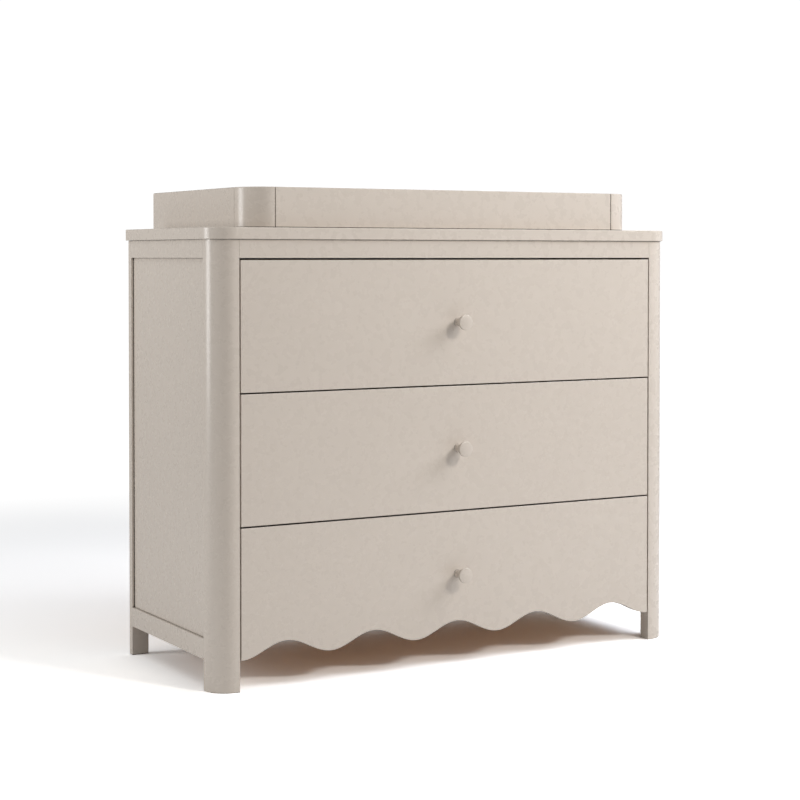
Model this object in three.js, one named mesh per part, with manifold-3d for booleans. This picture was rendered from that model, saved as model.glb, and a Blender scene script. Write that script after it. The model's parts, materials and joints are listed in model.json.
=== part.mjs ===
// A changing table: a dresser with three drawers on telescopic slides and a lift-off tray for the pad.
// Millimetres. +X is to the right as seen from the front, +Y to the back and +Z up, from the floor.
// Inside each builder Y = 0 is the front face of the posts; the last lines centre the whole table.
import * as THREE from "three";
import { mergeVertices } from "three/addons/utils/BufferGeometryUtils.js";
import Module from "manifold-3d";

const wasm = await Module();
wasm.setup();

// Overall sizes of the dresser, and the gap kept between pieces that touch.
const width = 1115; // over the outer faces of the posts
const depth = 441; // front face of the posts to the rear face of the rear legs
const height = 914; // floor to the top surface
const seat = 0.3;

// Top panel.
const topThickness = 23.5;
const topOverhang = 5; // at the front and at both sides
const topRearOverhang = 3;

// Front posts: an L-section with a round outer corner, down to the floor.
const postWidth = 56; // across the front
const postDepth = 50; // along the side
const postRadius = 49;
const postFrontStock = 28; // thickness of the front limb
const postSideStock = 24; // thickness of the side limb
const postInnerRadius = 10; // between the two limbs

// Rear legs, flat stiles.
const legWidth = 38;
const legThickness = 16;

// Rails.
const upperRailHeight = 37; // front and side
const frontRailThickness = 22;
const sideRailThickness = 22;
const lowerRailBottom = 62.5;
const lowerRailHeight = 40.5;
const rearTopRailHeight = 40;

// Side panels, back panel and runner boards.
const sidePanelRecess = 6;
const sidePanelThickness = 12;
const sidePanelGroove = 8;
const backPanelThickness = 4;
const backPanelInset = 5; // behind the front face of the rear legs
const backPanelGroove = 6;
const runnerThickness = 15;

// Drawers.
const drawerCount = 3;
const frontsBottom = 61.6; // lowest point of the bottom front
const frontTopGap = 4;
const frontGap = 3; // between fronts and at their ends
const frontThickness = 20;
const waveCount = 5; // arches along the lower edge of the bottom front
const waveRise = 31;
const boxAboveFrontEdge = 45;
const boxBelowFrontTop = 26;
const boxRearClearance = 10;
const boxThickness = 12;
const boxBottomThickness = 5;
const boxBottomRaise = 12;
const boxBottomGroove = 6;

// Telescopic slides, three pressed channels one inside the other.
const slideThickness = 12.7;
const slideHeight = 45;
const slideGauge = 1.2;
const slideBallGap = 1.6;
const slideFrontSetback = 4;
const slideRearSetback = 6;

// Knobs, turned: radii, and distances out from the drawer front.
const knobReach = 36;
const knobBaseRadius = 8;
const knobNeckRadius = 7;
const knobNeck = 6; // where the neck is slimmest and the flare starts
const knobFlareBend = 20; // how far out the flare stays slim
const knobRimStart = 27;
const knobFaceRadius = 16;
const knobRimRadius = 3;
const knobDome = 1.2;

// Changing tray.
const trayWidth = 948;
const trayDepth = 482;
const trayHeight = 81;
const trayWall = 18;
const trayRadius = 61.7; // outer radius of the two front corners
const traySetback = 22; // behind the front face of the posts
const trayBottomThickness = 9;
const trayBottomTongue = 5; // thickness of its edge, which is let into the walls
const trayBottomRaise = 4;
const trayBottomGroove = 6;

// Steps in a quarter circle, in one arch of the wave, round a knob and along its two curves.
const arcSteps = 12;
const waveSteps = 12;
const knobSteps = 28;
const flareSteps = 6;
const rimSteps = 4;

// Places that several pieces share.
const halfWidth = width / 2;
const openingHalf = halfWidth - postWidth;
const cornerRadius = Math.min(postRadius, postWidth, postDepth);
const undersideZ = height - topThickness;
const upperRailZ = undersideZ - upperRailHeight;
const lowerRailTopZ = lowerRailBottom + lowerRailHeight;
const legFrontY = depth - legThickness;
const legInnerX = halfWidth - legWidth;
const backPanelY = legFrontY + backPanelInset;
const frontsTop = upperRailZ - frontTopGap;
const frontHeight = (frontsTop - frontsBottom - (drawerCount - 1) * frontGap) / drawerCount;
const frontHalf = openingHalf - frontGap;
const boxOuterX = openingHalf - slideThickness;
const boxInnerX = boxOuterX - boxThickness;
const boxRearY = backPanelY - boxRearClearance;
const boxTopZ = frontHeight - boxBelowFrontTop;
const boxBottomZ = boxAboveFrontEdge + boxBottomRaise;
const slideZ = (boxAboveFrontEdge + boxTopZ) / 2;
const trayHalf = trayWidth / 2;
const trayZ = height + seat;
const trayTopZ = trayZ + trayHeight;
const trayRearY = traySetback + trayDepth;
const trayBottomZ = trayZ + trayBottomRaise;
const sides = [
  ["left", -1],
  ["right", 1],
];

const paint = new THREE.MeshStandardMaterial({ color: 0xcfc5bb, roughness: 0.45 });
const drawerWood = new THREE.MeshStandardMaterial({ color: 0xd9bd92, roughness: 0.6 });
const hardboard = new THREE.MeshStandardMaterial({ color: 0x9c7452, roughness: 0.7 });
const zincSteel = new THREE.MeshStandardMaterial({ color: 0xb9bcbf, roughness: 0.35, metalness: 1 });

// A box between two corners. On the side -1 its X range is mirrored.
function box(x0, x1, y0, y1, z0, z1, side = 1) {
  return new THREE.Box3().setFromPoints([
    new THREE.Vector3(side * x0, y0, z0),
    new THREE.Vector3(side * x1, y1, z1),
  ]);
}

function boxGeometry(extent) {
  const size = extent.getSize(new THREE.Vector3());
  const centre = extent.getCenter(new THREE.Vector3());
  return new THREE.BoxGeometry(size.x, size.y, size.z).translate(centre.x, centre.y, centre.z);
}

// Points along an arc about (x, y), between two angles in degrees.
function arc(x, y, radius, from, to) {
  return Array.from({ length: arcSteps + 1 }, (_, step) => {
    const angle = THREE.MathUtils.degToRad(from + ((to - from) * step) / arcSteps);
    return new THREE.Vector2(x + radius * Math.cos(angle), y + radius * Math.sin(angle));
  });
}

// A closed outline without repeated points. On the side -1 it is mirrored.
function outline(points, side = 1) {
  const mirrored = points.map((point) => new THREE.Vector2(side * point.x, point.y));
  const distinct = mirrored.filter((point, index) => {
    const previous = mirrored[(index + mirrored.length - 1) % mirrored.length];
    return point.distanceTo(previous) > 1e-6;
  });
  return new THREE.Shape(distinct);
}

// An X-Y outline raised along Z.
function upright(shape, z0, z1) {
  const options = { depth: z1 - z0, bevelEnabled: false };
  return new THREE.ExtrudeGeometry(shape, options).translate(0, 0, z0);
}

// An X-Z outline drawn out along Y.
function lengthwise(shape, y0, y1) {
  const options = { depth: y1 - y0, bevelEnabled: false };
  return new THREE.ExtrudeGeometry(shape, options).rotateX(Math.PI / 2).translate(0, y1, 0);
}

function solid(geometry) {
  const bare = geometry.index ? geometry.toNonIndexed() : geometry.clone();
  bare.deleteAttribute("normal");
  bare.deleteAttribute("uv");
  const merged = mergeVertices(bare);
  const vertProperties = merged.attributes.position.array;
  const triVerts = new Uint32Array(merged.index.array);
  return new wasm.Manifold(new wasm.Mesh({ numProp: 3, vertProperties, triVerts }));
}

function geometryOf(body) {
  const mesh = body.getMesh();
  const geometry = new THREE.BufferGeometry();
  geometry.setAttribute("position", new THREE.BufferAttribute(mesh.vertProperties, 3));
  geometry.setIndex(new THREE.BufferAttribute(mesh.triVerts, 1));
  return geometry;
}

// The geometry with grooves cut for pieces that are let into it.
function grooved(geometry, ...cutters) {
  return geometryOf(cutters.reduce((rest, cutter) => rest.subtract(solid(cutter)), solid(geometry)));
}

function joined(geometry, other) {
  return geometryOf(solid(geometry).add(solid(other)));
}

// The room that a let-in board needs: the board and the seat gap all round.
function roomFor(board) {
  return boxGeometry(board.clone().expandByScalar(seat));
}

// A named mesh whose own origin is the middle of its box.
function piece(name, geometry, material) {
  geometry.computeBoundingBox();
  const centre = geometry.boundingBox.getCenter(new THREE.Vector3());
  geometry.translate(-centre.x, -centre.y, -centre.z);
  const mesh = new THREE.Mesh(geometry, material);
  mesh.name = name;
  mesh.position.copy(centre);
  return mesh;
}

// ---- Carcass ----

const sidePanelOf = (side) =>
  box(
    halfWidth - sidePanelRecess - sidePanelThickness,
    halfWidth - sidePanelRecess,
    postDepth - sidePanelGroove + seat,
    legFrontY + sidePanelGroove - seat,
    lowerRailTopZ - sidePanelGroove + seat,
    upperRailZ + sidePanelGroove - seat,
    side,
  );

const backPanel = box(
  -legInnerX - backPanelGroove + seat,
  legInnerX + backPanelGroove - seat,
  backPanelY,
  backPanelY + backPanelThickness,
  lowerRailTopZ - backPanelGroove + seat,
  undersideZ - rearTopRailHeight + backPanelGroove - seat,
);

function topPanel() {
  const x = halfWidth + topOverhang;
  const radius = cornerRadius + topOverhang;
  const shape = outline([
    ...arc(radius - x, radius - topOverhang, radius, 180, 270),
    ...arc(x - radius, radius - topOverhang, radius, 270, 360),
    new THREE.Vector2(x, depth + topRearOverhang),
    new THREE.Vector2(-x, depth + topRearOverhang),
  ]);
  return piece("top_panel", upright(shape, undersideZ, height), paint);
}

function frontPost(name, side) {
  const limbX = halfWidth - postSideStock;
  const shape = outline(
    [
      new THREE.Vector2(openingHalf, 0),
      ...arc(halfWidth - cornerRadius, cornerRadius, cornerRadius, 270, 360),
      new THREE.Vector2(halfWidth, postDepth),
      new THREE.Vector2(limbX, postDepth),
      ...arc(limbX - postInnerRadius, postFrontStock + postInnerRadius, postInnerRadius, 0, -90),
      new THREE.Vector2(openingHalf, postFrontStock),
    ],
    side,
  );
  const geometry = upright(shape, 0, undersideZ - seat);
  return piece(`front_${name}_post`, grooved(geometry, roomFor(sidePanelOf(side))), paint);
}

function rearLeg(name, side) {
  const leg = box(legInnerX, halfWidth, legFrontY, depth, 0, undersideZ - seat, side);
  const geometry = grooved(boxGeometry(leg), roomFor(sidePanelOf(side)), roomFor(backPanel));
  return piece(`rear_${name}_leg`, geometry, paint);
}

function sideRail(nodeName, side, z0, z1) {
  const inner = halfWidth - sideRailThickness;
  const rail = box(inner, halfWidth, postDepth + seat, legFrontY - seat, z0, z1, side);
  return piece(nodeName, grooved(boxGeometry(rail), roomFor(sidePanelOf(side))), paint);
}

function runnerBoard(name, side) {
  const board = box(
    openingHalf,
    openingHalf + runnerThickness,
    postFrontStock + seat,
    legFrontY - seat,
    lowerRailBottom,
    undersideZ - seat,
    side,
  );
  return piece(`${name}_runner_board`, boxGeometry(board), drawerWood);
}

function rearRail(nodeName, z0, z1) {
  const half = legInnerX - seat;
  const rail = box(-half, half, legFrontY, depth, z0, z1);
  return piece(nodeName, grooved(boxGeometry(rail), roomFor(backPanel)), paint);
}

function frontTopRail() {
  const half = openingHalf - seat;
  const rail = box(-half, half, 0, frontRailThickness, upperRailZ, undersideZ - seat);
  return piece("front_top_rail", boxGeometry(rail), paint);
}

function carcass() {
  const group = new THREE.Group();
  group.add(topPanel(), frontTopRail());
  for (const [name, side] of sides) {
    group.add(
      frontPost(name, side),
      rearLeg(name, side),
      sideRail(`${name}_upper_rail`, side, upperRailZ, undersideZ - seat),
      sideRail(`${name}_lower_rail`, side, lowerRailBottom, lowerRailTopZ),
      piece(`${name}_side_panel`, boxGeometry(sidePanelOf(side)), paint),
      runnerBoard(name, side),
    );
  }
  group.add(
    rearRail("rear_top_rail", undersideZ - rearTopRailHeight, undersideZ - seat),
    rearRail("rear_bottom_rail", lowerRailBottom, lowerRailTopZ),
    piece("back_panel", boxGeometry(backPanel), hardboard),
  );
  return group;
}

// ---- Slides. Z = 0 is the lower edge of the drawer's front, as in the drawer. ----

// A channel section. Its web stands at one distance from the runner board and its flanges reach
// to another; the distances are measured from the board towards the drawer.
function channel(web, tip, channelHeight, side) {
  const inside = web + Math.sign(tip - web) * slideGauge;
  const top = channelHeight / 2;
  const corners = [
    [web, -top],
    [tip, -top],
    [tip, slideGauge - top],
    [inside, slideGauge - top],
    [inside, top - slideGauge],
    [tip, top - slideGauge],
    [tip, top],
    [web, top],
  ];
  const points = corners.map(([out, up]) => new THREE.Vector2(openingHalf - out, slideZ + up));
  return outline(points, side);
}

function slideMember(nodeName, section) {
  const front = frontThickness + slideFrontSetback;
  return piece(nodeName, lengthwise(section, front, boxRearY - slideRearSetback), zincSteel);
}

const slideStep = slideGauge + slideBallGap; // from one channel to the next one inside it
const innerWeb = seat + slideStep;
const outerTip = slideThickness - seat - slideStep;

function cabinetMember(number, name, side) {
  const section = channel(seat, outerTip, slideHeight, side);
  return slideMember(`slide_${number}_${name}_cabinet_member`, section);
}

function middleMember(number, name, side) {
  const section = channel(innerWeb, outerTip, slideHeight - 2 * slideStep, side);
  return slideMember(`slide_${number}_${name}_middle_member`, section);
}

function drawerMember(number, name, side) {
  const web = slideThickness - seat;
  const section = channel(web, innerWeb + slideStep, slideHeight - 4 * slideStep, side);
  return slideMember(`slide_${number}_${name}_drawer_member`, section);
}

// ---- Drawers. Z = 0 is the lower edge of the drawer's front. ----

const boxBottom = box(
  -boxInnerX - boxBottomGroove + seat,
  boxInnerX + boxBottomGroove - seat,
  frontThickness - boxBottomGroove + seat,
  boxRearY,
  boxBottomZ,
  boxBottomZ + boxBottomThickness,
);

// The bottom front's lower edge is a row of arches that starts and ends low.
function waveEdge() {
  const count = waveCount * waveSteps;
  return Array.from({ length: count + 1 }, (_, step) => {
    const along = step / count;
    const rise = (waveRise / 2) * (1 - Math.cos(along * waveCount * 2 * Math.PI));
    return new THREE.Vector2(frontHalf * (2 * along - 1), rise);
  });
}

function straightEdge() {
  return [new THREE.Vector2(-frontHalf, 0), new THREE.Vector2(frontHalf, 0)];
}

function drawerFront(number) {
  const lowerEdge = number === drawerCount ? waveEdge() : straightEdge();
  const shape = outline([
    ...lowerEdge,
    new THREE.Vector2(frontHalf, frontHeight),
    new THREE.Vector2(-frontHalf, frontHeight),
  ]);
  const geometry = lengthwise(shape, 0, frontThickness);
  return piece(`drawer_${number}_front`, grooved(geometry, roomFor(boxBottom)), paint);
}

function drawerSide(number, name, side) {
  const front = frontThickness + seat;
  const board = box(boxInnerX, boxOuterX, front, boxRearY, boxAboveFrontEdge, boxTopZ, side);
  const geometry = grooved(boxGeometry(board), roomFor(boxBottom));
  return piece(`drawer_${number}_${name}_side`, geometry, drawerWood);
}

function drawerBack(number) {
  const half = boxInnerX - seat;
  const z0 = boxBottomZ + boxBottomThickness + seat;
  const board = box(-half, half, boxRearY - boxThickness, boxRearY, z0, boxTopZ);
  return piece(`drawer_${number}_back`, boxGeometry(board), drawerWood);
}

// A slim neck that flares to a slightly domed face with a rounded rim.
function knob(number) {
  const flare = new THREE.QuadraticBezierCurve(
    new THREE.Vector2(knobNeckRadius, knobNeck),
    new THREE.Vector2(knobBaseRadius, knobFlareBend),
    new THREE.Vector2(knobFaceRadius, knobRimStart),
  );
  const shoulder = knobReach - knobDome;
  const rim = new THREE.QuadraticBezierCurve(
    new THREE.Vector2(knobFaceRadius, shoulder - knobRimRadius),
    new THREE.Vector2(knobFaceRadius, shoulder),
    new THREE.Vector2(knobFaceRadius - knobRimRadius, shoulder),
  );
  const profile = [
    new THREE.Vector2(0, 0),
    new THREE.Vector2(knobBaseRadius, 0),
    ...flare.getPoints(flareSteps),
    ...rim.getPoints(rimSteps),
    new THREE.Vector2(0, knobReach),
  ];
  const geometry = new THREE.LatheGeometry(profile, knobSteps).rotateX(Math.PI);
  geometry.translate(0, -seat, frontHeight / 2);
  return piece(`drawer_${number}_knob`, geometry, paint);
}

function drawer(number) {
  const group = new THREE.Group();
  group.add(
    drawerFront(number),
    drawerBack(number),
    piece(`drawer_${number}_bottom`, boxGeometry(boxBottom), hardboard),
    knob(number),
  );
  for (const [name, side] of sides) {
    group.add(drawerSide(number, name, side), drawerMember(number, name, side));
  }
  return group;
}

// ---- Tray ----

// The tray's outline in plan, moved inwards: square at the rear, round at the front corners.
function trayOutline(inset) {
  const x = trayHalf - inset;
  const radius = trayRadius - inset;
  const cornerY = traySetback + trayRadius;
  return outline([
    ...arc(radius - x, cornerY, radius, 180, 270),
    ...arc(x - radius, cornerY, radius, 270, 360),
    new THREE.Vector2(x, trayRearY - inset),
    new THREE.Vector2(-x, trayRearY - inset),
  ]);
}

// The tray's bottom board: a thin tongue all round, and a field that just fits inside the walls.
function trayBottom() {
  const tongueOutline = trayOutline(trayWall - trayBottomGroove + seat);
  const tongue = upright(tongueOutline, trayBottomZ, trayBottomZ + trayBottomTongue);
  const field = upright(trayOutline(trayWall + seat), trayBottomZ, trayBottomZ + trayBottomThickness);
  return piece("tray_bottom", joined(tongue, field), paint);
}

function tray() {
  const grooveOutline = trayOutline(trayWall - trayBottomGroove);
  const grooveTopZ = trayBottomZ + trayBottomTongue + seat;
  const room = upright(grooveOutline, trayBottomZ - seat, grooveTopZ);
  const cornerX = trayHalf - trayRadius;
  const cornerY = traySetback + trayRadius;
  const innerX = trayHalf - trayWall;
  const front = box(
    seat - cornerX, cornerX - seat, traySetback, traySetback + trayWall, trayZ, trayTopZ,
  );
  const back = box(seat - innerX, innerX - seat, trayRearY - trayWall, trayRearY, trayZ, trayTopZ);
  const group = new THREE.Group();
  group.add(
    piece("tray_front", grooved(boxGeometry(front), room), paint),
    piece("tray_back", grooved(boxGeometry(back), room), paint),
    trayBottom(),
  );
  for (const [name, side] of sides) {
    const wall = box(innerX, trayHalf, cornerY + seat, trayRearY, trayZ, trayTopZ, side);
    const ring = outline(
      [
        ...arc(cornerX, cornerY, trayRadius, 270, 360),
        ...arc(cornerX, cornerY, trayRadius - trayWall, 360, 270),
      ],
      side,
    );
    group.add(
      piece(`tray_${name}_side`, grooved(boxGeometry(wall), room), paint),
      piece(`tray_${name}_corner`, grooved(upright(ring, trayZ, trayTopZ), room), paint),
    );
  }
  return group;
}

// ---- The table ----

const table = new THREE.Group();
table.add(carcass(), tray());
for (let number = 1; number <= drawerCount; number += 1) {
  const level = new THREE.Group();
  level.position.z = frontsTop - number * frontHeight - (number - 1) * frontGap;
  level.add(drawer(number));
  for (const [name, side] of sides) {
    level.add(cabinetMember(number, name, side), middleMember(number, name, side));
  }
  table.add(level);
}

// The origin is on the floor, below the middle of the box round the knobs and the tray.
table.position.y = (knobReach + seat - trayRearY) / 2;

export default table;
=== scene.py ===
"""A painted changing table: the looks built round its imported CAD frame. Metres, +Z up."""

import json
import math

import bmesh
import bpy
from mathutils import Matrix, Vector

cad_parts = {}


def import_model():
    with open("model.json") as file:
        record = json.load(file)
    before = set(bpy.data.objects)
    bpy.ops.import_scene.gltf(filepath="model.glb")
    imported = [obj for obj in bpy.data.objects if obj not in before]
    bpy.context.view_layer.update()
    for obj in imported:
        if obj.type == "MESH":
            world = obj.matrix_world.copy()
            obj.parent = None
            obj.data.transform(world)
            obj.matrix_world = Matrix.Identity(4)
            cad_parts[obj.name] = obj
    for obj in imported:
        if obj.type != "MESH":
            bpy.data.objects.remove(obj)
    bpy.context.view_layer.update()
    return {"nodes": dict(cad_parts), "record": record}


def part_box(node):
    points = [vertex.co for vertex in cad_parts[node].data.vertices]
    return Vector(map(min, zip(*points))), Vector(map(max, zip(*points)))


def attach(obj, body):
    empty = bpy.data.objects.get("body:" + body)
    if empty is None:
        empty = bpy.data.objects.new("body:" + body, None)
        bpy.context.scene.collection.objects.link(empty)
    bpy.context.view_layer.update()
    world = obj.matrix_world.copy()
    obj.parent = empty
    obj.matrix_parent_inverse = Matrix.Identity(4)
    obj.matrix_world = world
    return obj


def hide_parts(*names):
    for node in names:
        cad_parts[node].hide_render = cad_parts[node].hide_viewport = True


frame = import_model()
nodes = frame["nodes"]
record = frame["record"]
scene = bpy.context.scene

MM = 0.001
DRAWERS = (1, 2, 3)
SIDES = (("left", -1), ("right", 1))

# Size of the eased edges, by kind of board. It is the most that they get: where the mesh is too fine
# for it, the modifier eases them less.
ARRIS_BOARD = 0.5 * MM
ARRIS_FLUSH = 0.15 * MM
ARRIS_RAIL = 0.25 * MM
ARRIS_TOP = 1.4 * MM
ARRIS_FRONT = 1.3 * MM
ARRIS_TRAY = 1.6 * MM
ARRIS_LEG = 1.3 * MM
ARRIS_DRAWER_BOX = 1.2 * MM
ARRIS_HARDBOARD = 0.3 * MM
ARRIS_STEEL = 0.25 * MM
ARRIS_STEPS = 3
ROUNDED = 0.5  # the section of an eased edge, as a bevel's profile
CHAMFERED = 0.25
ONE_FLAT = math.radians(0.6)  # faces that turn by less are one flat face
REAL_EDGE = math.radians(35)  # edges that turn by more are eased
SMOOTH_TURN = 35  # degrees up to which a small metal or wooden part shades smoothly


# ---------------------------------------------------------------- materials


def dimmed(colour, factor):
    return tuple(channel * factor for channel in colour)


class Graph:
    """A node material built from the Principled shader backwards."""

    def __init__(self, name):
        self.material = bpy.data.materials.new(name)
        self.material.use_nodes = True
        self.tree = self.material.node_tree
        self.shader = self.tree.nodes["Principled BSDF"]
        self.place = self.add("ShaderNodeTexCoord").outputs["Object"]

    def add(self, kind, **values):
        node = self.tree.nodes.new(kind)
        for key, value in values.items():
            setattr(node, key, value)
        return node

    def link(self, source, target):
        self.tree.links.new(source, target)

    def stretched(self, scale):
        """Object coordinates scaled by one number or by three."""
        node = self.add("ShaderNodeMapping")
        node.inputs["Scale"].default_value = scale if hasattr(scale, "__len__") else (scale,) * 3
        self.link(self.place, node.inputs["Vector"])
        return node.outputs["Vector"]

    def noise(self, scale, detail=2.0, roughness=0.5, distortion=0.0):
        """Noise of a scale, one number or three; the larger the number, the finer the noise."""
        node = self.add("ShaderNodeTexNoise")
        node.inputs["Scale"].default_value = 1.0
        node.inputs["Detail"].default_value = detail
        node.inputs["Roughness"].default_value = roughness
        node.inputs["Distortion"].default_value = distortion
        self.link(self.stretched(scale), node.inputs["Vector"])
        return node.outputs["Fac"]

    def ramp(self, value, *stops):
        """A value or colour ramp; each stop is (position, number or colour)."""
        node = self.add("ShaderNodeValToRGB")
        elements = node.color_ramp.elements
        while len(elements) < len(stops):
            elements.new(0.5)
        for element, (position, level) in zip(elements, stops):
            element.position = position
            element.color = (*level, 1) if hasattr(level, "__len__") else (level, level, level, 1)
        self.link(value, node.inputs["Fac"])
        return node.outputs["Color"]

    def spread(self, value, low, high):
        """A noise's middle range mapped to low..high."""
        node = self.add("ShaderNodeMapRange")
        node.inputs["From Min"].default_value = 0.3
        node.inputs["From Max"].default_value = 0.7
        node.inputs["To Min"].default_value = low
        node.inputs["To Max"].default_value = high
        self.link(value, node.inputs["Value"])
        return node.outputs["Result"]

    def math(self, operation, first, second):
        node = self.add("ShaderNodeMath", operation=operation)
        for socket, value in zip(node.inputs, (first, second)):
            if isinstance(value, (int, float)):
                socket.default_value = value
            else:
                self.link(value, socket)
        return node.outputs["Value"]

    def mixed(self, factor, first, second, blend="MIX"):
        """Two colours mixed; a Mix node's colours are its inputs 6 and 7 and its output 2."""
        node = self.add("ShaderNodeMix", data_type="RGBA", blend_type=blend)
        for index, value in zip((0, 6, 7), (factor, first, second)):
            socket = node.inputs[index]
            if isinstance(value, (int, float)):
                socket.default_value = value
            elif isinstance(value, tuple):
                socket.default_value = (*value, 1)
            else:
                self.link(value, socket)
        return node.outputs[2]

    def painted_joint_shade(self, reach):
        """Painted shade for joints and inside corners, read off ambient occlusion: 0 deep in a joint
        narrower than the reach, 1 on open surface.
        """
        node = self.add("ShaderNodeAmbientOcclusion", samples=8)
        node.inputs["Distance"].default_value = reach
        return self.ramp(node.outputs["AO"], (0.42, 0.0), (0.74, 1.0))

    def faces_along_x(self):
        """1 on the faces that look along the table's length, 0 elsewhere."""
        split = self.add("ShaderNodeSeparateXYZ")
        self.link(self.add("ShaderNodeTexCoord").outputs["Normal"], split.inputs["Vector"])
        size = self.math("ABSOLUTE", split.outputs["X"], 0.0)
        return self.math("GREATER_THAN", size, 0.9)

    def bump(self, *layers):
        """Bumps laid one on another; each layer is (height, depth in metres)."""
        normal = None
        for height, depth in layers:
            node = self.add("ShaderNodeBump")
            node.inputs["Strength"].default_value = 1.0
            node.inputs["Distance"].default_value = depth
            self.link(height, node.inputs["Height"])
            if normal is not None:
                self.link(normal, node.inputs["Normal"])
            normal = node.outputs["Normal"]
        self.link(normal, self.shader.inputs["Normal"])

    def finish(self, colour, roughness):
        self.link(colour, self.shader.inputs["Base Color"])
        self.link(roughness, self.shader.inputs["Roughness"])
        return self.material


PAINT = (0.64, 0.573, 0.505)
PAINT_DRIFT = 0.004  # how far the tone wanders either way, as a share of it
# The colour of painted shade, which the paint turns towards deep in joints and inside corners.
PAINTED_JOINT_SHADE = (0.10, 0.075, 0.055)
JOINT_REACH = 5 * MM  # how near a neighbour has to be for the paint to get painted shade
FILM_WAVE = 0.006 * MM  # depths of the paint film's relief
FILM_STIPPLE = 0.0015 * MM


def painted_wood(name, flush_ends):
    """Satin paint rolled on smooth board: faint mottling, a fine stipple and slow waves in the film.

    Joints and inside corners get painted shade, an ambient-occlusion darkening of the colour; with
    flush_ends, faces that look along the table's length get none.
    """
    graph = Graph(name)
    graph.shader.inputs["Specular IOR Level"].default_value = 0.5
    mottle = graph.spread(graph.noise(5.0, 3.0), 0.0, 1.0)
    cloud = graph.spread(graph.noise(38.0, 4.0, 0.6), 0.0, 1.0)
    stipple = graph.noise(900.0, 2.0)
    wave = graph.noise((26.0, 26.0, 17.0), 1.0)
    colour = graph.mixed(mottle, dimmed(PAINT, 1 - PAINT_DRIFT), dimmed(PAINT, 1 + PAINT_DRIFT))
    shade = graph.mixed(cloud, (0.997, 0.997, 0.997), (1.0, 1.0, 1.0))
    colour = graph.mixed(1.0, colour, shade, "MULTIPLY")
    # Painted shade: the paint's colour darkens in joints and inside corners, by ambient occlusion.
    open_surface = graph.painted_joint_shade(JOINT_REACH)
    if flush_ends:
        # No painted shade on faces that look along the table's length.
        open_surface = graph.math("MAXIMUM", open_surface, graph.faces_along_x())
    colour = graph.mixed(open_surface, PAINTED_JOINT_SHADE, colour)
    graph.bump((wave, FILM_WAVE), (stipple, FILM_STIPPLE))
    return graph.finish(colour, graph.spread(cloud, 0.270, 0.282))


def pale_wood(name, grain):
    """Clear-lacquered pale hardwood whose grain runs along one axis (0, 1 or 2)."""
    graph = Graph(name)

    def along(across, lengthwise):
        """The scale of a pattern drawn out along the grain."""
        scale = [across] * 3
        scale[grain] = lengthwise
        return scale

    light = (0.66, 0.50, 0.31)
    dark = (0.50, 0.34, 0.18)
    drift = graph.noise(along(9.0, 0.8), 3.0, 0.55)
    rings = graph.add("ShaderNodeTexWave", wave_type="BANDS", bands_direction="DIAGONAL")
    rings.inputs["Scale"].default_value = 1.0
    rings.inputs["Distortion"].default_value = 9.0
    rings.inputs["Detail"].default_value = 3.0
    rings.inputs["Detail Scale"].default_value = 0.7
    graph.link(graph.stretched(along(16.0, 1.1)), rings.inputs["Vector"])
    fibre = graph.noise(along(420.0, 9.0), 4.0, 0.65)
    pore = graph.ramp(graph.noise(along(950.0, 26.0), 2.0, 0.5), (0.60, 0.0), (0.70, 1.0))
    colour = graph.mixed(graph.spread(drift, 0.0, 1.0), light, (0.60, 0.44, 0.26))
    late = graph.math("MULTIPLY", graph.ramp(rings.outputs["Fac"], (0.45, 0.0), (0.95, 1.0)), 0.45)
    colour = graph.mixed(late, colour, dark)
    colour = graph.mixed(graph.spread(fibre, 0.0, 0.22), colour, dark)
    colour = graph.mixed(graph.math("MULTIPLY", pore, 0.35), colour, (0.30, 0.19, 0.10))
    graph.bump((fibre, 0.03 * MM), (graph.math("SUBTRACT", 1.0, pore), 0.03 * MM))
    return graph.finish(colour, graph.spread(fibre, 0.42, 0.58))


def hardboard():
    """Smooth brown hardboard: pressed fibres of mixed tone."""
    graph = Graph("hardboard_brown")
    cloud = graph.spread(graph.noise(26.0, 4.0, 0.6), 0.0, 1.0)
    fleck = graph.ramp(graph.noise((520.0, 190.0, 190.0), 3.0, 0.6, 0.6), (0.50, 0.0), (0.66, 1.0))
    dark_fleck = graph.ramp(graph.noise((260.0, 700.0, 260.0), 2.0, 0.5, 0.8), (0.56, 0.0), (0.70, 1.0))
    colour = graph.mixed(cloud, (0.49, 0.235, 0.085), (0.55, 0.275, 0.105))
    colour = graph.mixed(graph.math("MULTIPLY", fleck, 0.35), colour, (0.47, 0.29, 0.15))
    colour = graph.mixed(graph.math("MULTIPLY", dark_fleck, 0.40), colour, (0.14, 0.07, 0.035))
    graph.bump((graph.noise(650.0, 3.0), 0.03 * MM))
    return graph.finish(colour, graph.spread(cloud, 0.50, 0.62))


def zinc_steel(name, tint, low, high):
    """Zinc-plated sheet steel with faint drawing lines along the slides."""
    graph = Graph(name)
    graph.shader.inputs["Metallic"].default_value = 1.0
    lines = graph.noise((1500.0, 14.0, 1500.0), 3.0, 0.6)
    bloom = graph.spread(graph.noise(60.0, 4.0, 0.65), 0.0, 1.0)
    colour = graph.mixed(bloom, dimmed(tint, 0.92), tint)
    colour = graph.mixed(graph.spread(lines, 0.0, 0.20), colour, dimmed(tint, 0.7))
    graph.bump((lines, 0.006 * MM))
    return graph.finish(colour, graph.spread(bloom, low, high))


FLOOR_BOUNCE = 0.80  # how pale the floor is to the light that it throws back
FLOOR_SEEN = 1.68  # how pale it looks, as a floor lit by lamps of its own does
FLOOR_FADE = (1.6, 3.2)  # metres from the middle, where the floor turns into the backdrop
FLOOR_SIZE = 60
BACKDROP = 1.05  # brightness of the backdrop, just past white


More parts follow.
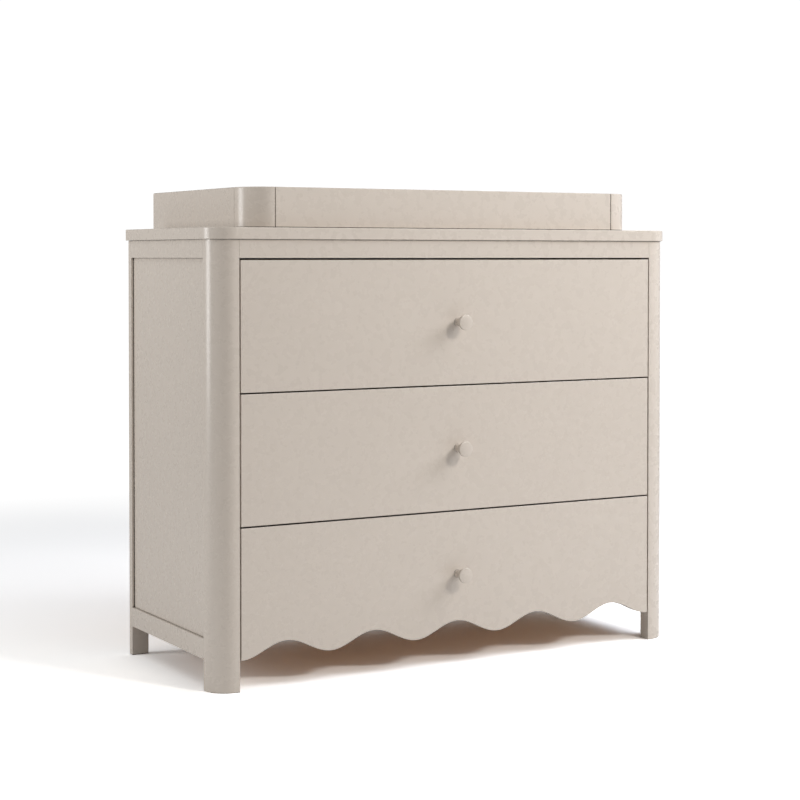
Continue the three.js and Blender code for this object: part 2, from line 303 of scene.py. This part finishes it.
def studio_floor():
    """Pale seamless floor: a plain sweep that is white by the time it is well away from the table."""
    graph = Graph("studio_floor")
    seen = graph.add("ShaderNodeLightPath").outputs["Is Camera Ray"]
    grain = graph.spread(graph.noise(60.0, 3.0), 0.99, 1.01)
    pale = graph.math("ADD", graph.math("MULTIPLY", seen, FLOOR_SEEN - FLOOR_BOUNCE), FLOOR_BOUNCE)
    matt = graph.add("ShaderNodeBsdfDiffuse")
    graph.link(graph.math("MULTIPLY", pale, grain), matt.inputs["Color"])
    glow = graph.add("ShaderNodeEmission")
    glow.inputs["Strength"].default_value = BACKDROP
    away = graph.add("ShaderNodeVectorMath", operation="LENGTH")
    graph.link(graph.place, away.inputs[0])
    fade = graph.add("ShaderNodeMapRange", interpolation_type="SMOOTHSTEP")
    fade.inputs["From Min"].default_value, fade.inputs["From Max"].default_value = FLOOR_FADE
    graph.link(away.outputs["Value"], fade.inputs["Value"])
    blend = graph.add("ShaderNodeMixShader")
    far = graph.math("MULTIPLY", fade.outputs["Result"], seen)
    for source, socket in zip((far, matt.outputs[0], glow.outputs[0]), blend.inputs):
        graph.link(source, socket)
    graph.link(blend.outputs[0], graph.tree.nodes["Material Output"].inputs["Surface"])
    graph.tree.nodes.remove(graph.shader)
    return graph.material


paint = painted_wood("painted_wood_satin", flush_ends=False)
flush_paint = painted_wood("painted_wood_satin_flush", flush_ends=True)
wood_across = pale_wood("drawer_wood_grain_x", 0)
wood_deep = pale_wood("drawer_wood_grain_y", 1)
wood_tall = pale_wood("drawer_wood_grain_z", 2)
board = hardboard()
steel = zinc_steel("zinc_steel_sheet", (0.62, 0.64, 0.66), 0.26, 0.38)
screw_steel = zinc_steel("zinc_steel_screw", (0.72, 0.70, 0.64), 0.22, 0.32)


# ---------------------------------------------------------------- surfaces of the CAD nodes


def welding_group():
    """Geometry nodes that join the loose triangles and let the surface shade smoothly."""
    group = bpy.data.node_groups.new("join_and_smooth", "GeometryNodeTree")
    group.interface.new_socket("Geometry", in_out="INPUT", socket_type="NodeSocketGeometry")
    group.interface.new_socket("Geometry", in_out="OUTPUT", socket_type="NodeSocketGeometry")
    flow = group.nodes.new("NodeGroupInput").outputs[0]
    merge = group.nodes.new("GeometryNodeMergeByDistance")
    merge.inputs["Distance"].default_value = 0.01 * MM
    steps = [merge]
    for attribute in ("custom_normal", "sharp_edge", "sharp_face"):
        remove = group.nodes.new("GeometryNodeRemoveAttribute")
        remove.inputs["Name"].default_value = attribute
        steps.append(remove)
    steps.append(group.nodes.new("GeometryNodeSetShadeSmooth"))
    steps.append(group.nodes.new("NodeGroupOutput"))
    for step in steps:
        group.links.new(flow, step.inputs["Geometry"])
        flow = step.outputs["Geometry"] if step.outputs else None
    return group


JOIN_AND_SMOOTH = welding_group()


def soften(obj, radius, profile=ROUNDED):
    """Joins the mesh, eases its real edges and shades its flats flat and its curves smooth."""
    obj.modifiers.new("join", "NODES").node_group = JOIN_AND_SMOOTH
    flat = obj.modifiers.new("flats", "DECIMATE")
    flat.decimate_type = "DISSOLVE"
    flat.angle_limit = ONE_FLAT
    edge = obj.modifiers.new("arris", "BEVEL")
    edge.limit_method = "ANGLE"
    edge.angle_limit = REAL_EDGE
    edge.width = radius
    edge.segments = ARRIS_STEPS
    edge.profile = profile
    edge.miter_outer = "MITER_ARC"
    edge.use_clamp_overlap = True
    normals = obj.modifiers.new("normals", "WEIGHTED_NORMAL")
    normals.mode = "FACE_AREA"
    normals.weight = 80


def dress(name, material, radius, profile=ROUNDED):
    obj = nodes[name]
    obj.data.materials.clear()
    obj.data.materials.append(material)
    soften(obj, radius, profile)


def dress_nodes():
    dress("top_panel", paint, ARRIS_TOP)
    dress("front_top_rail", flush_paint, ARRIS_FLUSH)
    for name in ("rear_top_rail", "rear_bottom_rail"):
        dress(name, paint, ARRIS_BOARD)
    dress("back_panel", board, ARRIS_HARDBOARD)
    for side, _ in SIDES:
        dress(f"front_{side}_post", flush_paint, ARRIS_FLUSH)
        dress(f"rear_{side}_leg", paint, ARRIS_LEG, CHAMFERED)
        dress(f"{side}_side_panel", paint, ARRIS_BOARD)
        dress(f"{side}_upper_rail", paint, ARRIS_RAIL)
        dress(f"{side}_lower_rail", paint, ARRIS_RAIL)
        dress(f"{side}_runner_board", wood_tall, ARRIS_BOARD)
        dress(f"tray_{side}_side", paint, ARRIS_TRAY, CHAMFERED)
        dress(f"tray_{side}_corner", paint, ARRIS_TRAY, CHAMFERED)
    for name in ("tray_front", "tray_back", "tray_bottom"):
        dress(name, paint, ARRIS_TRAY, CHAMFERED)
    for number in DRAWERS:
        if number != DRAWERS[-1]:
            dress(f"drawer_{number}_front", flush_paint, ARRIS_FRONT)
        dress(f"drawer_{number}_back", wood_across, ARRIS_DRAWER_BOX)
        dress(f"drawer_{number}_bottom", board, ARRIS_HARDBOARD)
        for side, _ in SIDES:
            dress(f"drawer_{number}_{side}_side", wood_deep, ARRIS_DRAWER_BOX)
            for member in ("cabinet", "middle", "drawer"):
                dress(f"slide_{number}_{side}_{member}_member", steel, ARRIS_STEEL)


# ---------------------------------------------------------------- new pieces


def piece(name, bm, body, material, stands_for=()):
    """A named object from a bmesh, on its CAD body."""
    bmesh.ops.recalc_face_normals(bm, faces=bm.faces)
    mesh = bpy.data.meshes.new(name)
    bm.to_mesh(mesh)
    bm.free()
    mesh.materials.append(material)
    obj = bpy.data.objects.new(name, mesh)
    scene.collection.objects.link(obj)
    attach(obj, body)
    if stands_for:
        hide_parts(*stands_for)
    return obj


def shade_by_angle(obj, degrees):
    obj.data.shade_smooth()
    obj.data.set_sharp_from_angle(angle=math.radians(degrees))


def revolve(bm, profile, place, steps):
    """Turns (radius, height) pairs about the local Z axis; ends on the axis close the form."""
    rings = []
    for radius, height in profile:
        angles = [2 * math.pi * k / steps for k in range(steps if radius > 0 else 1)]
        points = [Vector((radius * math.cos(a), radius * math.sin(a), height)) for a in angles]
        rings.append([bm.verts.new(place @ point) for point in points])
    for lower, upper in zip(rings, rings[1:]):
        for k in range(steps):
            after = (k + 1) % steps
            corners = [lower[k % len(lower)], lower[after % len(lower)]]
            corners += [upper[after % len(upper)], upper[k % len(upper)]]
            distinct = list(dict.fromkeys(corners))
            if len(distinct) > 2:
                bm.faces.new(distinct)
    return rings


def bezier(points, steps):
    """Points along a Bezier curve of any degree."""
    result = []
    for step in range(steps + 1):
        t = step / steps
        level = [Vector(p) for p in points]
        while len(level) > 1:
            level = [a.lerp(b, t) for a, b in zip(level, level[1:])]
        result.append(tuple(level[0]))
    return result


def knob(number):
    """A turned knob: a short neck that widens like a funnel to a nearly flat face."""
    node = f"drawer_{number}_knob"
    low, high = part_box(node)
    reach = high.y - low.y
    face = (high.x - low.x) / 2
    foot = (0.5 * face, 0.6 * MM)
    neck = (0.46 * face, 0.11 * reach)
    flare = (0.60 * face, 0.47 * reach)  # pulls the funnel's curve towards the neck
    funnel_end = (0.985 * face, 0.80 * reach)
    rim = 0.06 * reach
    shoulder = reach - 1.2 * MM
    profile = [(0, 0), (foot[0], 0), foot]
    profile += bezier([foot, (neck[0], 1.6 * MM), neck], 6)[1:]
    profile += bezier([neck, flare, funnel_end], 20)[1:]
    profile += bezier([funnel_end, (face, 0.83 * reach), (face, shoulder - rim)], 5)[1:]
    profile += bezier([(face, shoulder - rim), (face, shoulder), (face - rim, shoulder)], 8)[1:]
    profile += bezier([(face - rim, shoulder), (face * 0.5, reach), (0, reach)], 10)[1:]
    centre = Vector(((low.x + high.x) / 2, high.y, (low.z + high.z) / 2))
    bm = bmesh.new()
    revolve(bm, profile, Matrix.Translation(centre) @ Matrix.Rotation(math.pi / 2, 4, "X"), 72)
    made = piece(f"{node}_turned", bm, f"drawer_{number}", paint, [node])
    shade_by_angle(made, 40)


def prism(bm, outline, depth):
    """A closed X-Z outline carried from its own Y through depth."""
    front = [bm.verts.new(point) for point in outline]
    back = [bm.verts.new(point + Vector((0, depth, 0))) for point in outline]
    bm.faces.new(front)
    bm.faces.new(reversed(back))
    count = len(outline)
    for k in range(count):
        after = (k + 1) % count
        bm.faces.new((front[after], front[k], back[k], back[after]))


ARCH_STEPS = 40  # points along each wave of the bottom drawer's edge


def scalloped_front():
    """The bottom drawer's front, with its wavy lower edge as a true curve."""
    node = f"drawer_{DRAWERS[-1]}_front"
    low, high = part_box(node)
    face = [v.co for v in nodes[node].data.vertices if v.co.y < low.y + MM]
    rise = max(co.z for co in face if co.z < high.z - MM) - low.z
    arches = sum(o["name"].startswith("front_arch") for o in record["physics"]["openings"])
    steps = ARCH_STEPS * arches
    outline = []
    for step in range(steps + 1):
        along = step / steps
        z = low.z + rise / 2 * (1 - math.cos(2 * math.pi * arches * along))
        outline.append(Vector((low.x + (high.x - low.x) * along, low.y, z)))
    outline += [Vector((high.x, low.y, high.z)), Vector((low.x, low.y, high.z))]
    bm = bmesh.new()
    prism(bm, outline, high.y - low.y)
    made = piece(f"{node}_scalloped", bm, f"drawer_{DRAWERS[-1]}", flush_paint, [node])
    soften(made, ARRIS_FRONT)


def screw(bm, at, facing, radius, rise):
    """A pan-head screw with a cross recess, seated at a point and facing along an axis."""
    up = Vector((0, 0, 1))
    place = Matrix.Translation(at) @ up.rotation_difference(Vector(facing)).to_matrix().to_4x4()
    profile = [(radius, 0), (radius, 0.35 * rise), (0.93 * radius, 0.7 * rise), (0.72 * radius, rise)]
    rings = revolve(bm, profile, place, 20)
    bm.faces.new(reversed(rings[0]))
    arm = 0.5 * radius
    half = 0.13 * radius
    cross = []
    for k in range(4):
        quarter = Matrix.Rotation(k * math.pi / 2, 4, "Z")
        for x, y in ((arm, -half), (arm, half), (half, half)):
            cross.append(quarter @ Vector((x, y, 0)))
    rim = [bm.verts.new(place @ (p + Vector((0, 0, rise)))) for p in cross]
    pit = [bm.verts.new(place @ (p * 0.7 + Vector((0, 0, 0.35 * rise)))) for p in cross]
    edges = [e for v in rings[-1] for e in v.link_edges if e.other_vert(v) in rings[-1]]
    count = len(cross)
    for k in range(count):
        after = (k + 1) % count
        edges.append(bm.edges.new((rim[k], rim[after])))
        bm.faces.new((rim[k], rim[after], pit[after], pit[k]))
    bm.faces.new(pit)
    bmesh.ops.triangle_fill(bm, edges=list(set(edges)), use_beauty=True)


def disc(radius, thickness, inwards, down):
    """A disc's profile as (radius, height) pairs, its upper edge cut inwards and down."""
    return [
        (0, 0),
        (radius, 0),
        (radius, thickness - down),
        (radius - inwards, thickness),
        (0, thickness),
    ]


WASHER_RADIUS = 6.5 * MM
WASHER_THICKNESS = 1.1 * MM
KNOB_SCREW_RADIUS = 4.2 * MM
KNOB_SCREW_RISE = 2.4 * MM


def knob_fixing(number):
    """The screw and washer that hold the knob, on the inner face of the drawer front."""
    _, front_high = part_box(f"drawer_{number}_front")
    knob_low, knob_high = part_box(f"drawer_{number}_knob")
    at = Vector(((knob_low.x + knob_high.x) / 2, front_high.y, (knob_low.z + knob_high.z) / 2))
    seat = Matrix.Translation(at) @ Matrix.Rotation(-math.pi / 2, 4, "X")
    bm = bmesh.new()
    revolve(bm, disc(WASHER_RADIUS, WASHER_THICKNESS, 0.3 * MM, 0.3 * MM), seat, 36)
    on_washer = at + Vector((0, WASHER_THICKNESS, 0))
    screw(bm, on_washer, (0, 1, 0), KNOB_SCREW_RADIUS, KNOB_SCREW_RISE)
    made = piece(f"drawer_{number}_knob_screw", bm, f"drawer_{number}", screw_steel)
    shade_by_angle(made, SMOOTH_TURN)


SLIDE_SCREWS = (0.09, 0.40, 0.88)  # along each slide member, as a share of its length
SLIDE_SCREW_RADIUS = 3.9 * MM
SLIDE_GAUGE = 1.2 * MM  # the sheet steel of the members


def slide_screws(number):
    """Screws that hold the fixed members to the runner boards and the drawer members to the box."""
    fixings = (("cabinet", "carcass", 1.2 * MM), ("drawer", f"drawer_{number}", 1.8 * MM))
    for member, body, rise in fixings:
        bm = bmesh.new()
        for side, sign in SIDES:
            low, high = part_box(f"slide_{number}_{side}_{member}_member")
            outer = max(low.x * sign, high.x * sign)
            inner = min(low.x * sign, high.x * sign)
            web = outer - SLIDE_GAUGE if member == "cabinet" else inner + SLIDE_GAUGE
            facing = (-sign, 0, 0) if member == "cabinet" else (sign, 0, 0)
            for share in SLIDE_SCREWS:
                at = Vector((sign * web, low.y + share * (high.y - low.y), (low.z + high.z) / 2))
                screw(bm, at, facing, SLIDE_SCREW_RADIUS, rise)
        made = piece(f"slide_{number}_{member}_screws", bm, body, screw_steel)
        shade_by_angle(made, SMOOTH_TURN)


DOWEL_RADIUS = 3.9 * MM
DOWEL_SUNK = 1.0 * MM  # how far the shown disc reaches into the board
DOWEL_PROUD = 0.2 * MM
DOWEL_HEIGHTS = (0.16, 0.84)  # up the drawer's back, as a share of its height


def dowel_ends(number):
    """Dowels seen end-on where each drawer side is joined to the drawer's back."""
    back_low, back_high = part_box(f"drawer_{number}_back")
    y = (back_low.y + back_high.y) / 2
    bm = bmesh.new()
    for side, sign in SIDES:
        low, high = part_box(f"drawer_{number}_{side}_side")
        sunk = max(low.x * sign, high.x * sign) - DOWEL_SUNK
        outwards = Matrix.Rotation(sign * math.pi / 2, 4, "Y")
        for share in DOWEL_HEIGHTS:
            z = back_low.z + share * (back_high.z - back_low.z)
            place = Matrix.Translation((sign * sunk, y, z)) @ outwards
            revolve(bm, disc(DOWEL_RADIUS, DOWEL_SUNK + DOWEL_PROUD, 0.4 * MM, 0.15 * MM), place, 28)
    made = piece(f"drawer_{number}_dowels", bm, f"drawer_{number}", wood_across)
    shade_by_angle(made, SMOOTH_TURN)


dress_nodes()
scalloped_front()
for drawer_number in DRAWERS:
    knob(drawer_number)
    knob_fixing(drawer_number)
    slide_screws(drawer_number)
    dowel_ends(drawer_number)


# ---------------------------------------------------------------- studio


def studio():
    bpy.ops.mesh.primitive_plane_add(size=FLOOR_SIZE)
    floor = bpy.context.object
    floor.name = "studio_floor"
    floor.data.materials.append(studio_floor())


def softbox(name, target, azimuth, elevation, distance, width, height, power, colour=(1, 1, 1)):
    """An area light aimed at a point. Azimuth is from the front, positive to the right."""
    turn = math.radians(azimuth)
    rise = math.radians(elevation)
    level = math.cos(rise)
    away = Vector((math.sin(turn) * level, -math.cos(turn) * level, math.sin(rise)))
    light = bpy.data.lights.new(name, "AREA")
    light.shape = "RECTANGLE"
    light.size, light.size_y = width, height
    light.energy = power
    light.color = colour
    lamp = bpy.data.objects.new(name, light)
    scene.collection.objects.link(lamp)
    lamp.location = Vector(target) + away * distance
    lamp.rotation_euler = away.to_track_quat("Z", "Y").to_euler()


def world(seen, lit):
    """White behind the object; what lights the object is dimmer."""
    backdrop = bpy.data.worlds.new("studio_world")
    scene.world = backdrop
    backdrop.use_nodes = True
    tree = backdrop.node_tree
    background = tree.nodes["Background"]
    background.inputs["Color"].default_value = (1, 1, 1, 1)
    rays = tree.nodes.new("ShaderNodeLightPath")
    strength = tree.nodes.new("ShaderNodeMapRange")
    strength.inputs["To Min"].default_value = lit
    strength.inputs["To Max"].default_value = seen
    tree.links.new(rays.outputs["Is Camera Ray"], strength.inputs["Value"])
    tree.links.new(strength.outputs["Result"], background.inputs["Strength"])


CAMERA_PLACE = (-2.0357, -3.5160, 0.8568)
CAMERA_PAN = 30.0247  # degrees to the right of straight on
CAMERA_DIP = 1.2313  # degrees below level
CAMERA_LENS = 83.092  # mm, on a sensor 36 mm wide
CAMERA_SHIFT = -0.13  # brings the table up in the frame while its uprights stay almost parallel
CAMERA_REACH = (0.05, 120)  # the nearest and farthest things that it sees


def camera():
    lens = bpy.data.cameras.new("camera")
    lens.sensor_width = 36
    lens.lens = CAMERA_LENS
    lens.shift_y = CAMERA_SHIFT
    lens.clip_start, lens.clip_end = CAMERA_REACH
    eye = bpy.data.objects.new("camera", lens)
    scene.collection.objects.link(eye)
    eye.location = CAMERA_PLACE
    eye.rotation_euler = (math.radians(90 - CAMERA_DIP), 0, math.radians(-CAMERA_PAN))
    scene.camera = eye


SKY_LIGHT = 0.31  # strength of the world as a lamp
CENTRE = (0, 0, 0.5)  # where most lamps aim; the others aim at the tray's left side
LEFT_TOP = (-0.56, 0, 0.9)
LEFT_CORNER = (-0.56, 0.1, 1.0)

studio()
world(seen=BACKDROP, lit=SKY_LIGHT)
# Azimuth and elevation are in degrees, distance and size in metres, and power in watts.
softbox("key_front", CENTRE, 18, 30, 3.6, 0.5, 0.5, 34, (1.06, 1.0, 0.93))
softbox("key_right", CENTRE, 56, 34, 3.0, 1.2, 1.2, 31, (0.97, 1.0, 1.03))
softbox("key_far_right", CENTRE, 72, 30, 3.0, 1.2, 1.2, 14, (0.90, 0.98, 1.18))
softbox("key_high", CENTRE, 52, 52, 3.0, 1.2, 1.2, 10)
softbox("left_strip", LEFT_CORNER, -107, 0, 2.4, 0.85, 1.1, 24)
softbox("left_top", LEFT_TOP, -90, 55, 1.1, 0.8, 0.8, 3.4)
camera()
scene.view_settings.view_transform = "Standard"
